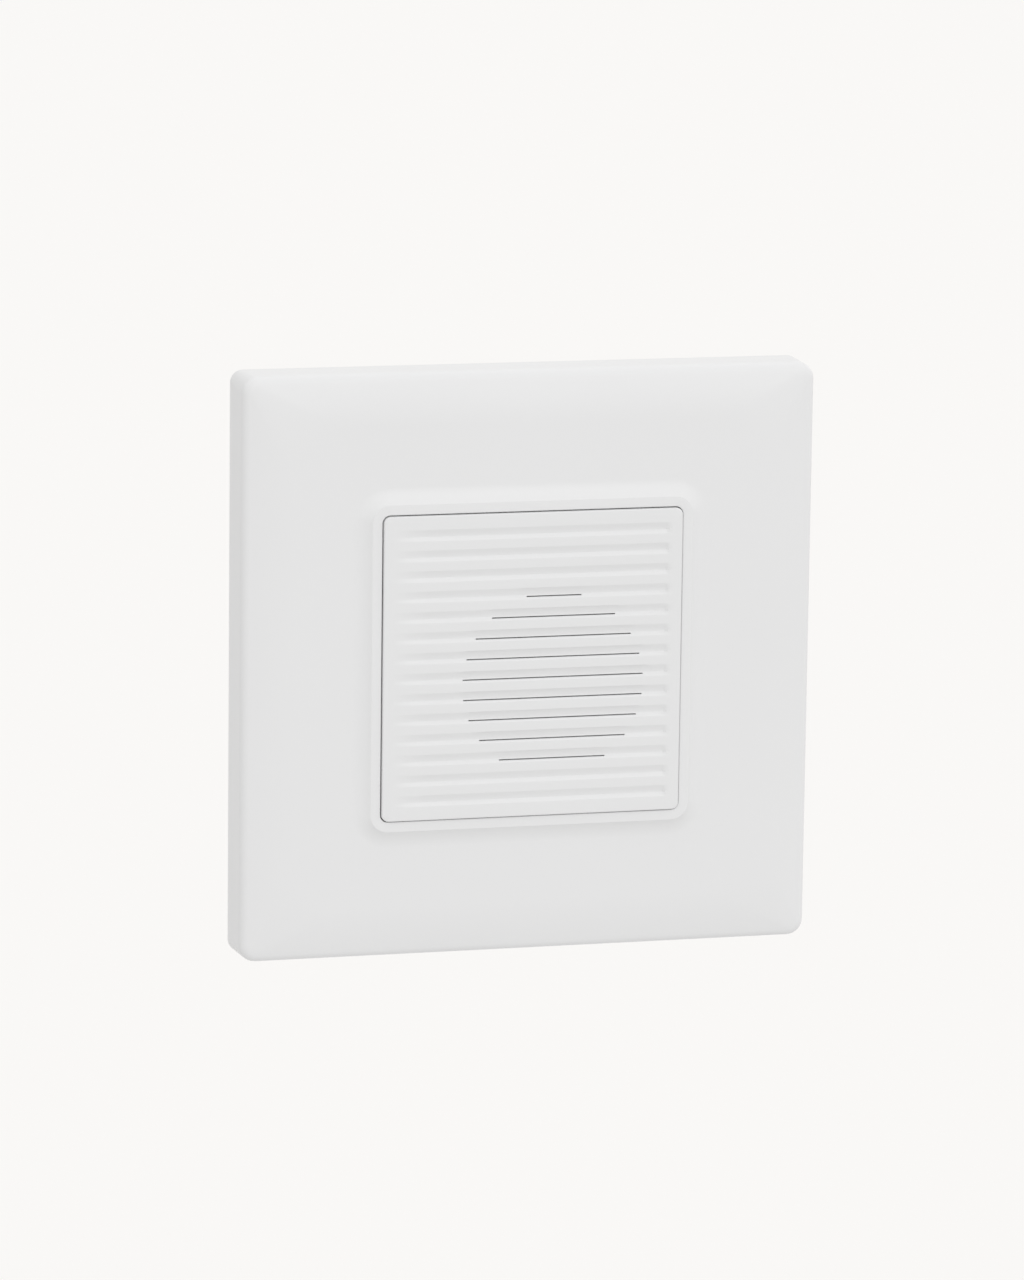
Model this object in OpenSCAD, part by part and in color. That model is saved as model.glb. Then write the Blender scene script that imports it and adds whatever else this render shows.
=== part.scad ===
// Flush-mounted door chime: a clip-on cover plate round a grooved sounder module in a wall frame.
// Each piece is drawn lying on its back: x to the right, y up the wall, z out of the wall.
// The wall is z = 0 there, and upright() then stands the piece up with its front towards -Y.

/* [Cover plate] */
// Width and height of the square cover plate
plate_side = 85; // [82:0.5:92]
// Height of the plate's face above the wall
plate_height = 9; // [8:0.1:11]
// Thickness of the plate's shell
plate_wall = 2; // [1.4:0.1:2.4]
// Corner radius of the plate's outline
plate_corner = 2.4; // [1.8:0.1:5]
// Radius of the round between side wall and face
plate_edge = 1.5; // [0.8:0.1:1.7]
// Width of the band along the edge in which the face falls away
crown_band = 13.5; // [8:0.5:14]
// Fall of the face across that band
crown_drop = 0.9; // [0.3:0.1:1]
// Height of the window's rim above the face
rim_rise = 0.8; // [0.4:0.1:1.2]
// Width of the rim's flat top
rim_width = 1.3; // [0.8:0.1:2]
// Width of the cove that runs from the rim down to the face
cove_width = 2.4; // [1.6:0.1:4]
// Width of the notch for a screwdriver under the plate
pry_width = 8; // [5:0.5:12]
// Height of that notch
pry_height = 1.2; // [0.6:0.1:2]
// Distance of the stiffening ribs from the plate's middle lines
rib_place = 16; // [10:0.5:19]
// Thickness of a rib
rib_thick = 1; // [0.6:0.1:1.4]
// Height of a rib
rib_height = 1.2; // [0.6:0.1:1.6]

/* [Plate clips] */
// Distance of the clip prongs from the middle, sideways
clip_x = 29.5; // [28.5:0.1:31]
// Distance of the clip prongs from the middle, up and down
clip_y = 24; // [14:0.5:26]
// Width of a prong
prong_width = 6; // [4:0.5:8]
// Thickness of a prong
prong_thick = 1.5; // [1.2:0.1:2]
// Height of the ratchet teeth on a prong
tooth_height = 0.25; // [0.1:0.05:0.3]
// Space round a prong in its socket
clip_gap = 0.4; // [0.35:0.05:0.6]
// Wall of a clip socket
socket_wall = 1.2; // [0.8:0.1:1.6]
// Height of a clip socket above the wall
socket_height = 4.5; // [3:0.1:5.5]

/* [Module face] */
// Width and height of the module's square face
face_side = 44.4; // [43.5:0.1:45.5]
// Corner radius of the face
face_corner = 1; // [0.6:0.1:2]
// Small round along the face's edge
face_edge = 0.3; // [0.1:0.05:0.5]
// Gap between the face and the plate's window
face_gap = 0.15; // [0.15:0.05:0.4]
// Height of the face above the plate's rim
face_proud = 0.4; // [0:0.05:0.6]
// Wall of the front cap's skirt
cap_wall = 1.5; // [1.2:0.1:1.6]
// Thickness of the front cap's face
cap_face = 1.8; // [1.4:0.1:2.2]

/* [Grooves and sound slots] */
// Number of grooves across the face
groove_count = 14; // [6:1:14]
// Distance from groove to groove
groove_pitch = 2.975; // [2.4:0.025:3]
// Width of a groove
groove_width = 1.8; // [1.2:0.1:2.3]
// Depth of a groove
groove_depth = 0.3; // [0.2:0.05:0.6]
// Length of the grooves
groove_length = 40.6; // [30:0.1:42]
// Length over which a groove runs out at each end
groove_runout = 0.1; // [0.1:0.1:3]
// Height of a sound slot
slot_height = 0.15; // [0.15:0.05:0.4]
// Distance of the slots below the middle of their grooves
slot_drop = 0.45; // [0:0.05:0.6]
// Radius of the round field that the slots fill
field_radius = 13.5; // [9:0.1:13.8]
// Shortest slot
slot_shortest = 5; // [2:0.5:8]

/* [Sounder] */
// Place of the sounder's axis to the right of the middle
sounder_x = 3.1; // [0:0.1:3.3]
// Place of the sounder's axis above the middle
sounder_y = -2.9; // [-3.2:0.1:-2.5]
// Depth of the chamber between face and disc
chamber_depth = 1.3; // [0.5:0.05:1.5]
// Thickness of the sounder disc
disc_thick = 0.5; // [0.3:0.1:0.8]
// Width of the ledge that carries the disc's edge
ledge_width = 0.8; // [0.5:0.1:1]
// Wall of the ring boss round the disc
boss_wall = 1.2; // [0.8:0.1:1.6]
// Height of the retaining ring
retainer_height = 1; // [0.6:0.1:1.4]
// Width of the retaining ring
retainer_width = 1.4; // [0.8:0.1:2]
// Clearance of the disc and ring in their seat
seat_gap = 0.05; // [0.02:0.01:0.1]

/* [Support frame] */
// Width and height of the support frame
frame_side = 71; // [69:0.5:78]
// Thickness of the frame
frame_thick = 1.8; // [1.4:0.1:2.4]
// Corner radius of the frame
frame_corner = 5; // [3:0.5:8]
// Height of the stiffening lip round the frame
lip_height = 3.2; // [2.6:0.1:4]
// Wall of that lip
lip_wall = 1.2; // [0.8:0.1:1.6]
// Depth of the collar that carries the module behind the plate's face
collar_set_back = 4.6; // [4.3:0.1:5.2]
// Wall of the collar
collar_wall = 1.5; // [1.1:0.1:1.6]
// Distance between opposite box screws
screw_spacing = 60; // [58.5:0.5:61]
// Width of a slot for a box screw
screw_slot_width = 4; // [3:0.1:4.6]
// Length of a slot for a box screw
screw_slot_length = 7; // [5:0.5:7.5]

/* [Module housing] */
// Depth of the housing behind the wall
body_depth = 20; // [18:0.5:32]
// Corner radius of the housing
body_corner = 3; // [2:0.1:4]
// Radius of the round along the housing's rear edge
rear_edge = 1; // [0.4:0.1:1.4]
// Side wall of the housing
body_wall = 1.5; // [1.2:0.1:1.6]
// Rear wall of the housing
rear_wall = 1.8; // [1.4:0.1:2.4]
// Overhang of the flange that rests on the frame's collar
flange_ledge = 1; // [0.7:0.05:1.1]
// Thickness of that flange
flange_thick = 1.4; // [1:0.1:1.8]
// Clearance between the housing and the frame
body_gap = 0.3; // [0.15:0.05:0.4]
// Height of the spigot that the front cap sits on
spigot_height = 1.6; // [1.4:0.1:1.8]
// Clearance between spigot and front cap
spigot_gap = 0.2; // [0.1:0.05:0.25]
// Width of a snap between cap and spigot
snap_width = 8; // [4:0.5:14]
// Width of a side latch
latch_width = 8; // [5:0.5:12]
// Length of a side latch's arm
latch_length = 10; // [6:0.5:14]
// Width of the slit round a latch
latch_slit = 0.8; // [0.5:0.1:1.2]
// Height of the latch tooth above the housing's side
latch_bite = 0.8; // [0.5:0.1:1]

/* [Electromagnet] */
// Radius of the iron core
core_radius = 3; // [2:0.1:3.6]
// Radius of the core's pole head
pole_radius = 4.5; // [3.8:0.1:6]
// Thickness of the pole head
pole_thick = 0.9; // [0.6:0.1:1.4]
// Wall of the bobbin's tube
bobbin_wall = 0.95; // [0.6:0.05:1.4]
// Radius of the winding
coil_radius = 8.8; // [7:0.1:8.9]
// Radius of the bobbin's flanges
flange_radius = 9.6; // [9:0.1:9.7]
// Thickness of the bobbin's flanges
flange_plate = 1; // [0.6:0.1:1.4]
// Thickness of the yoke's iron strip
yoke_thick = 1.6; // [1.2:0.1:2]
// Height of the bosses that carry the yoke
yoke_boss_height = 2.7; // [2:0.1:3.5]
// Clearance of round pieces in their holes
hole_gap = 0.05; // [0.02:0.01:0.1]

/* [Armature] */
// Width of the armature plate
armature_width = 10.8; // [8:0.2:12]
// Thickness of the armature plate
armature_thick = 0.9; // [0.6:0.1:1.2]
// Gap between armature and pole at rest
air_gap = 0.6; // [0.6:0.05:0.9]
// Height of the striker above the armature, with its gap to the disc
striker_reach = 4.1; // [3.9:0.1:6]
// Gap between striker and disc at rest
striker_gap = 0.35; // [0.35:0.05:0.6]
// Radius of the striker
striker_radius = 1.6; // [1.2:0.1:2.4]
// Radius of the hinge pin
pin_radius = 0.7; // [0.5:0.05:0.8]
// Thickness of the hinge ears
ear_thick = 1.2; // [0.8:0.1:1.6]
// Side play between ears and armature
ear_gap = 0.3; // [0.2:0.05:0.5]
// Radius of the round ends of ears and lugs
ear_radius = 1.6; // [1.3:0.1:1.7]
// Mean radius of the return spring
spring_radius = 1.4; // [1.2:0.1:1.6]
// Radius of the spring's wire
spring_wire = 0.22; // [0.15:0.01:0.24]
// Number of turns of the spring
spring_turns = 6; // [4:1:6]
// Length of the spring
spring_length = 6; // [5.8:0.2:9]

/* [Terminals] */
// Distance of the terminals from the middle
terminal_x = 10.2; // [9.9:0.1:11.5]
// Radius of a terminal screw
clamp_screw_radius = 1.5; // [1.2:0.05:1.7]
// Radius of its head
clamp_head_radius = 2.5; // [2.2:0.1:2.8]
// Height of its head
clamp_head_height = 1.8; // [1.2:0.1:2.2]
// Inside width of a clamp cage
cage_inside = 5; // [4.4:0.1:5.4]
// Length of a clamp cage along the wire
cage_length = 5.6; // [4.6:0.1:5.6]
// Side wall of a clamp cage
cage_wall = 0.8; // [0.6:0.1:1]
// Threaded wall of a clamp cage
cage_nut = 2; // [1.4:0.1:2.4]
// Travel of a clamp cage when its screw is tightened
clamp_travel = 2; // [1:0.1:2.6]
// Thickness of a contact bar
bar_thick = 1; // [0.6:0.1:1.2]
// Room for the wire between bar and open cage
wire_room = 3.8; // [3.5:0.1:4.4]
// Radius of a wire entry
wire_entry_radius = 1.7; // [1.2:0.05:1.7]
// Clearance of a cage in its pocket
pocket_gap = 0.2; // [0.1:0.05:0.3]
// Walls of the terminal pockets
pocket_wall = 1; // [0.8:0.1:1.2]
// Radius of a coil lead
lead_radius = 0.35; // [0.2:0.05:0.45]

/* [Hidden] */
$fn = 96;

// How far a cutting shape reaches past the surface that it opens
past = 1;
// How far two shapes of one piece run into each other
root = 0.5;

// Cover plate
plate_half = plate_side / 2;
collar_height = plate_height - collar_set_back;
plate_inside = plate_height - plate_wall;
inside_corner_least = 0.4;
plate_inner_corner = max(plate_corner - plate_wall, inside_corner_least);
flat_half = plate_half - crown_band;
crown_radius = (crown_band * crown_band + crown_drop * crown_drop) / (2 * crown_drop);
crown_facets = 1440;
edge_centre = plate_half - plate_edge;
crown_at_edge = plate_height - crown_radius
  + sqrt(crown_radius * crown_radius - pow(edge_centre - flat_half, 2));
shoulder_overlap = 0.01;
shoulder = crown_at_edge - plate_edge + shoulder_overlap;
face_half = face_side / 2;
window_half = face_half + face_gap;
window_corner = face_corner + face_gap;
rim_top = plate_height + rim_rise;
cove_radius = (cove_width * cove_width + rim_rise * rim_rise) / (2 * rim_rise);
sleeve_gap = 0.8;
sleeve_bottom = collar_height + sleeve_gap;
prong_end = 0.4;
prong_teeth = 3;
tooth_pitch = 1;
tooth_first = 1.1;

// Front cap, which stands a little proud of the rim
cap_top = rim_top + face_proud;
cap_inside = cap_top - cap_face;
flange_top = collar_height + flange_thick;
cap_hollow = face_half - cap_wall;
inner_corner = 0.5;
groove_radius = (groove_width * groove_width / 4 + groove_depth * groove_depth) / (2 * groove_depth);
groove_floor = cap_top - groove_depth;
groove_spare = 0.1;
function groove_y(i) = (i - (groove_count - 1) / 2) * groove_pitch;
function slot_half(y) = sqrt(max(0, field_radius * field_radius - pow(y - sounder_y, 2)));

// Sounder disc and its seat
seat_radius = field_radius + ledge_width;
boss_radius = seat_radius + boss_wall;
disc_top = cap_inside - chamber_depth;
disc_bottom = disc_top - disc_thick;
boss_bottom = disc_bottom - retainer_height;

// Module housing
body_half = face_half - flange_ledge;
cavity_half = body_half - body_wall;
cavity_corner = max(body_corner - body_wall, inner_corner);
rear_outside = -body_depth;
rear_inside = rear_outside + rear_wall;
spigot_half = cap_hollow - spigot_gap;
spigot_top = flange_top + spigot_height;
snap_height = 0.7;
snap_bite = 0.35;
snap_room = 0.2;
snap_foot = 0.4;
snap_level = flange_top + snap_foot;
latch_end = 1.2;
latch_top = 0.9;
latch_face = 0.5;
latch_foot = -1;

// Support frame
frame_half = frame_side / 2;
frame_window_half = body_half + body_gap;
frame_window_corner = body_corner + body_gap;
latch_play = 0.1;
latch_notch_top = latch_top + latch_play;
latch_room = 0.4;

// Electromagnet, from the housing's rear wall to the armature
yoke_bottom = rear_inside + yoke_boss_height;
base_top = yoke_bottom + yoke_thick;
armature_top = disc_bottom - striker_reach;
armature_bottom = armature_top - armature_thick;
pole_face = armature_bottom - air_gap;
bobbin_top = pole_face - pole_thick;
hub_radius = core_radius + hole_gap + bobbin_wall;
leg_gap = 0.4;
leg_inside = sounder_x - flange_radius - leg_gap;
leg_outside = leg_inside - yoke_thick;
swing_room = 0.35;
leg_top = armature_bottom - swing_room;
ear_inside = armature_width / 2 + ear_gap;
yoke_half = ear_inside + ear_thick;
pivot_x = (leg_inside + leg_outside) / 2;
pivot_rise = 0.9;
pivot_z = armature_top + pivot_rise;
lug_thick = armature_thick;
ear_root = 3;
pin_stub = 0.3;
pin_half = yoke_half + pin_stub;
fixing_radius = 1.25;
fixing_head_radius = 2.2;
fixing_head_height = 1.5;
fixing_depth = 3.3;
fixing_reach = flange_radius + fixing_head_radius + leg_gap;
fixing_boss_radius = 3;

// Return spring on its post beside the coil
post_radius = 2.2;
post_spigot_radius = 0.9;
post_spigot_height = 1.8;
post_gap = 0.7;
spring_x = sounder_x + flange_radius + post_gap + post_radius;
spring_play = 0.05;
post_top = armature_bottom - spring_length;
tip_half = 2.6;

// Terminals
head_ledge = 0.5;
clamp_access_radius = clamp_head_radius - head_ledge;
head_play = 0.1;
head_bottom = rear_inside + head_play;
head_top = head_bottom + clamp_head_height;
pocket_floor = head_top - head_play;
nut_play = 1.2;
bar_play = 0.8;
bar_rear = head_top + nut_play + clamp_travel + cage_nut + bar_play;
bar_front = bar_rear + bar_thick;
clamp_tip = bar_rear - head_play;
cage_rear = head_top + nut_play + clamp_travel;
cage_mouth = cage_rear + cage_nut;
cage_floor = bar_front + wire_room;
cage_plate = 1.2;
cage_front = cage_floor + cage_plate;
cage_half = cage_inside / 2 + cage_wall;
cage_end_gap = 1.1;
cage_top_y = cavity_half - cage_end_gap;
cage_low_y = cage_top_y - cage_length;
terminal_y = (cage_top_y + cage_low_y) / 2;
pocket_half = cage_half + pocket_gap;
pocket_low = cage_low_y - pocket_gap;
pocket_top = cage_front + past;
wire_level = (bar_front + cage_floor) / 2;
bar_half = cage_inside / 2 - pocket_gap;
bar_tail = 1.2;
bar_low = pocket_low - pocket_wall - bar_tail;
bar_high = cage_top_y - pocket_gap;
bar_level = (bar_rear + bar_front) / 2;
lead_slack = 2;
driver_slot_width = 0.6;
driver_slot_depth = 0.8;

// Stands a piece that lies on its back up against the wall
module upright() {
  rotate([90, 0, 0]) children();
}

module quarter_disc(radius) {
  intersection() {
    circle(radius);
    square(radius);
  }
}

module rounded_square(half, corner) {
  square([2 * half, 2 * (half - corner)], center = true);
  square([2 * (half - corner), 2 * half], center = true);
  for (turn = [0 : 90 : 270])
    rotate(turn) translate([half - corner, half - corner]) quarter_disc(corner);
}

module rounded_prism(half, corner, bottom, top) {
  translate([0, 0, bottom]) linear_extrude(top - bottom) rounded_square(half, corner);
}

// Slot outline along x with round ends
module oval(length, width) {
  straight = length - width;
  square([straight, width], center = true);
  for (turn = [0, 180])
    rotate(turn) translate([straight / 2, 0]) intersection() {
      circle(width / 2);
      translate([0, -width / 2]) square(width);
    }
}

// Block on a rounded square whose half section, from the middle to the edge, is the child
module swept_block(half, corner, tall) {
  arm = half - corner;
  intersection() {
    drawn_both_ways(half) {
      children();
      mirror([1, 0]) children();
    }
    rotate(90) drawn_both_ways(half) {
      children();
      mirror([1, 0]) children();
    }
    union() {
      translate([-half, -arm, 0]) cube([2 * half, 2 * arm, tall]);
      translate([-arm, -half, 0]) cube([2 * arm, 2 * half, tall]);
    }
  }
  for (turn = [0 : 90 : 270])
    rotate(turn) translate([arm, arm, 0]) rotate_extrude(angle = 90) intersection() {
      translate([-arm, 0]) children();
      square([corner, tall]);
    }
}

// Section in x and z, drawn out along y to both sides of the middle
module drawn_both_ways(half) {
  rotate([90, 0, 0]) linear_extrude(2 * half, center = true) children();
}

// Frame on a rounded square whose section, from its inner wall outwards, is the child
module swept_ring(half, corner) {
  straight = 2 * (half - corner);
  for (turn = [0 : 90 : 270])
    rotate(turn) {
      translate([half, 0, 0]) rotate([90, 0, 0]) linear_extrude(straight, center = true) children();
      translate([half - corner, half - corner, 0])
        rotate_extrude(angle = 90) translate([corner, 0]) children();
    }
}

// Repeats the child in all four quarters
module in_four_quarters() {
  for (flip_x = [0, 1], flip_y = [0, 1])
    mirror([flip_x, 0, 0]) mirror([0, flip_y, 0]) children();
}

// Places the child on the sounder's axis
module on_sounder() {
  translate([sounder_x, sounder_y, 0]) children();
}

// Half section of the plate: a flat middle, a crown that falls away and a rounded shoulder
module plate_section() {
  intersection() {
    union() {
      square([flat_half, plate_height]);
      intersection() {
        translate([flat_half, plate_height - crown_radius]) circle(crown_radius, $fn = crown_facets);
        translate([flat_half, 0]) square([crown_band, plate_height + past]);
      }
    }
    union() {
      square([edge_centre, plate_height + past]);
      square([plate_half, shoulder]);
      translate([edge_centre, shoulder]) quarter_disc(plate_edge);
    }
  }
}

// Section of the window's rim, from the sleeve outwards down the cove
module rim_section() {
  difference() {
    union() {
      translate([0, sleeve_bottom]) square([rim_width, rim_top - sleeve_bottom]);
      translate([0, plate_inside]) square([rim_width + cove_width, rim_top - plate_inside]);
    }
    translate([rim_width + cove_width, plate_height + cove_radius]) circle(cove_radius);
  }
}

// Clip prong with a ratchet of small teeth on its outer face
module prong() {
  translate([clip_x - prong_thick / 2, clip_y - prong_width / 2, prong_end])
    cube([prong_thick, prong_width, plate_inside + root - prong_end]);
  for (i = [0 : prong_teeth - 1])
    translate([clip_x + prong_thick / 2, clip_y + prong_width / 2, tooth_first + i * tooth_pitch])
      rotate([90, 0, 0]) linear_extrude(prong_width)
        polygon([[-root, -tooth_pitch / 2], [0, -tooth_pitch / 2], [tooth_height, 0], [-root, 0]]);
}

// Stiffening ribs behind the face, from the window's sleeve to the side wall
module plate_ribs() {
  start = window_half + rim_width - root;
  length = plate_half - plate_wall + root - start;
  for (turn = [0 : 90 : 270], side = [-1, 1])
    rotate(turn) translate([start, side * rib_place - rib_thick / 2, plate_inside - rib_height])
      cube([length, rib_thick, rib_height + root]);
}

module cover_plate() {
  rim_reach = rim_width + cove_width;
  color("whitesmoke") upright() {
    difference() {
      swept_block(plate_half, plate_corner, plate_height + past) plate_section();
      rounded_prism(plate_half - plate_wall, plate_inner_corner, -past, plate_inside);
      rounded_prism(window_half + rim_reach, window_corner + rim_reach, -past, plate_height + past);
      translate([-pry_width / 2, -plate_half - past, -past])
        cube([pry_width, plate_wall + 2 * past, pry_height + past]);
    }
    swept_ring(window_half, window_corner) rim_section();
    plate_ribs();
    in_four_quarters() prong();
  }
}

// Outline of a clip socket, or of the opening in it
module socket_outline(margin) {
  translate([clip_x, clip_y])
    square([prong_thick + 2 * margin, prong_width + 2 * margin], center = true);
}

module support_frame() {
  color("gainsboro") upright() difference() {
    union() {
      rounded_prism(frame_half, frame_corner, 0, frame_thick);
      difference() {
        rounded_prism(frame_half, frame_corner, 0, lip_height);
        rounded_prism(frame_half - lip_wall, frame_corner - lip_wall, -past, lip_height + past);
      }
      rounded_prism(
        frame_window_half + collar_wall, frame_window_corner + collar_wall, 0, collar_height
      );
      in_four_quarters() linear_extrude(socket_height) socket_outline(clip_gap + socket_wall);
    }
    rounded_prism(frame_window_half, frame_window_corner, -past, collar_height + past);
    in_four_quarters()
      translate([0, 0, -past]) linear_extrude(socket_height + 2 * past) socket_outline(clip_gap);
    for (turn = [0 : 90 : 270])
      rotate(turn) translate([screw_spacing / 2, 0, -past])
        linear_extrude(frame_thick + 2 * past) oval(screw_slot_length, screw_slot_width);
    for (side = [0, 180])
      rotate(side) translate([frame_window_half - root, -latch_width / 2 - latch_room, -past])
        cube([
          root + latch_bite + latch_room - body_gap,
          latch_width + 2 * latch_room,
          latch_notch_top + past
        ]);
  }
}

// Half section of the front cap with its small edge round
module cap_section() {
  translate([0, flange_top]) {
    square([face_half - face_edge, cap_top - flange_top]);
    square([face_half, cap_top - flange_top - face_edge]);
  }
  translate([face_half - face_edge, cap_top - face_edge]) quarter_disc(face_edge);
}

// All grooves, with steep walls at both ends
module grooves() {
  reach = groove_length / 2;
  intersection() {
    for (i = [0 : groove_count - 1])
      translate([-reach, groove_y(i), groove_floor + groove_radius])
        rotate([0, 90, 0]) cylinder(h = groove_length, r = groove_radius);
    rotate([90, 0, 0]) linear_extrude(face_side, center = true) polygon([
      [-reach, cap_top], [groove_runout - reach, groove_floor - groove_spare],
      [reach - groove_runout, groove_floor - groove_spare], [reach, cap_top],
      [reach, cap_top + past], [-reach, cap_top + past]
    ]);
  }
}

// Sound slots, which fill a round field in front of the disc
module sound_slots() {
  for (i = [0 : groove_count - 1]) {
    y = groove_y(i) - slot_drop;
    half = slot_half(y);
    if (half > slot_shortest / 2)
      translate([sounder_x - half, y - slot_height / 2, cap_inside - past])
        cube([2 * half, slot_height, cap_face + 2 * past]);
  }
}

module grille_front() {
  color("whitesmoke") upright() {
    difference() {
      swept_block(face_half, face_corner, cap_top + past) cap_section();
      rounded_prism(cap_hollow, inner_corner, flange_top - past, cap_inside);
      for (turn = [0 : 90 : 270])
        rotate(turn) translate([
          cap_hollow - root, -snap_width / 2 - snap_room, snap_level - snap_room
        ])
          cube([
            root + snap_bite, snap_width + 2 * snap_room, snap_height + 2 * snap_room
          ]);
      grooves();
      sound_slots();
    }
    on_sounder() difference() {
      translate([0, 0, boss_bottom]) cylinder(h = cap_inside + root - boss_bottom, r = boss_radius);
      translate([0, 0, boss_bottom - past])
        cylinder(h = disc_top - boss_bottom + past, r = seat_radius);
      translate([0, 0, boss_bottom - past])
        cylinder(h = cap_inside + 2 * past + root - boss_bottom, r = seat_radius - ledge_width / 2);
    }
  }
}

// Half section of the housing from its rear forwards, with a round rear edge
module body_section(tall) {
  square([body_half - rear_edge, tall]);
  translate([0, rear_edge]) square([body_half, tall - rear_edge]);
  translate([body_half - rear_edge, rear_edge]) mirror([0, 1]) quarter_disc(rear_edge);
}

// Latch tooth on the right side of the housing
module latch_tooth() {
  translate([body_half, latch_width / 2, 0]) rotate([90, 0, 0]) linear_extrude(latch_width) polygon([
    [-root, latch_top], [latch_bite, latch_top], [latch_bite, latch_face], [0, latch_foot],
    [-root, latch_foot]
  ]);
}

// Slit that frees the latch on the right side from the wall round it
module latch_cut() {
  width = latch_width + 2 * latch_slit;
  difference() {
    translate([cavity_half - past, -width / 2, latch_end - latch_length])
      cube([body_wall + 2 * past, width, latch_length + latch_slit]);
    translate([cavity_half - 2 * past, -latch_width / 2, latch_end - latch_length - past])
      cube([body_wall + 4 * past, latch_width, latch_length + past]);
  }
}

// Open-fronted pocket that guides a clamp cage and carries the head of its screw
module terminal_pocket(x) {
  outer_half = pocket_half + pocket_wall;
  outer_low = pocket_low - pocket_wall;
  difference() {
    translate([x - outer_half, outer_low, rear_inside - root])
      cube([2 * outer_half, cavity_half + root - outer_low, pocket_top - rear_inside + root]);
    translate([x - pocket_half, pocket_low, pocket_floor])
      cube([2 * pocket_half, cavity_half - pocket_low, pocket_top - pocket_floor + past]);
    translate([x - bar_half - hole_gap, outer_low - past, bar_rear - hole_gap])
      cube([2 * (bar_half + hole_gap), pocket_wall + 2 * past, pocket_top - bar_rear + past]);
  }
}

module module_housing() {
  body_tall = collar_height - rear_outside;
  color("white") upright() difference() {
    union() {
      difference() {
        union() {
          translate([0, 0, rear_outside])
            swept_block(body_half, body_corner, body_tall) body_section(body_tall);
          rounded_prism(face_half, face_corner, collar_height, flange_top);
          rounded_prism(spigot_half, inner_corner, flange_top, spigot_top);
          for (turn = [0 : 90 : 270])
            rotate(turn) translate([spigot_half - root, -snap_width / 2, snap_level])
              cube([root + snap_bite, snap_width, snap_height]);
          for (side = [0, 180])
            rotate(side) latch_tooth();
        }
        rounded_prism(cavity_half, cavity_corner, rear_inside, spigot_top + past);
        for (side = [0, 180])
          rotate(side) latch_cut();
      }
      for (x = [-terminal_x, terminal_x])
        terminal_pocket(x);
      for (y = [-fixing_reach, fixing_reach])
        on_sounder() translate([0, y, rear_inside - root])
          cylinder(h = yoke_boss_height + root, r = fixing_boss_radius);
      translate([spring_x, sounder_y, rear_inside - root]) {
        cylinder(h = post_top - rear_inside + root, r = post_radius);
        cylinder(h = post_top - rear_inside + root + post_spigot_height, r = post_spigot_radius);
      }
    }
    for (x = [-terminal_x, terminal_x])
      translate([x, terminal_y, 0]) {
        translate([0, 0, rear_outside - past]) cylinder(h = rear_wall + 2 * past, r = clamp_access_radius);
        translate([0, 0, rear_inside])
          cylinder(h = pocket_floor - rear_inside + past, r = clamp_head_radius + head_play);
        translate([0, cavity_half - terminal_y - past, wire_level])
          rotate([-90, 0, 0]) cylinder(h = body_wall + 2 * past, r = wire_entry_radius);
      }
    for (y = [-fixing_reach, fixing_reach])
      on_sounder() translate([0, y, yoke_bottom - fixing_depth - head_play])
        cylinder(h = fixing_depth + head_play + past, r = fixing_radius + hole_gap);
  }
}

module sounder_disc() {
  color("silver") upright() on_sounder() translate([0, 0, disc_bottom])
    cylinder(h = disc_thick, r = seat_radius - seat_gap);
}

module disc_retainer() {
  outer = seat_radius - seat_gap;
  color("lightgrey") upright() on_sounder() translate([0, 0, boss_bottom]) difference() {
    cylinder(h = retainer_height, r = outer);
    translate([0, 0, -past]) cylinder(h = retainer_height + 2 * past, r = outer - retainer_width);
  }
}

module coil_bobbin() {
  length = bobbin_top - base_top;
  color("ivory") upright() on_sounder() translate([0, 0, base_top]) difference() {
    union() {
      cylinder(h = length, r = hub_radius);
      cylinder(h = flange_plate, r = flange_radius);
      translate([0, 0, length - flange_plate]) cylinder(h = flange_plate, r = flange_radius);
    }
    translate([0, 0, -past]) cylinder(h = length + 2 * past, r = core_radius + hole_gap);
  }
}

module coil_winding() {
  bottom = base_top + flange_plate;
  height = bobbin_top - flange_plate - bottom;
  color("peru") upright() on_sounder() translate([0, 0, bottom]) difference() {
    cylinder(h = height, r = coil_radius);
    translate([0, 0, -past]) cylinder(h = height + 2 * past, r = hub_radius);
  }
}

module core_pin() {
  color("slategray") upright() on_sounder() translate([0, 0, yoke_bottom]) {
    cylinder(h = pole_face - yoke_bottom, r = core_radius);
    translate([0, 0, bobbin_top - yoke_bottom]) cylinder(h = pole_thick, r = pole_radius);
  }
}

// Side view of an ear or a lug: a strip with a round end about the pivot
module pivot_outline(left, right, bottom) {
  translate([left, bottom]) square([right - left, pivot_z - bottom]);
  translate([pivot_x, pivot_z]) circle(ear_radius);
}

// Draws a side view out along y from near to far, measured from the sounder's axis
module along_pin(near, far) {
  translate([0, sounder_y + far, 0]) rotate([90, 0, 0]) linear_extrude(far - near) children();
}

// Side view of the iron strip: base and leg, round outside the bend
module bent_strip(reach) {
  corner = [leg_outside, yoke_bottom];
  difference() {
    translate(corner) {
      square([reach - leg_outside, yoke_thick]);
      square([yoke_thick, leg_top - yoke_bottom]);
    }
    difference() {
      translate(corner - [past, past]) square(yoke_thick + past);
      translate(corner + [yoke_thick, yoke_thick]) circle(yoke_thick);
    }
  }
}

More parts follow.
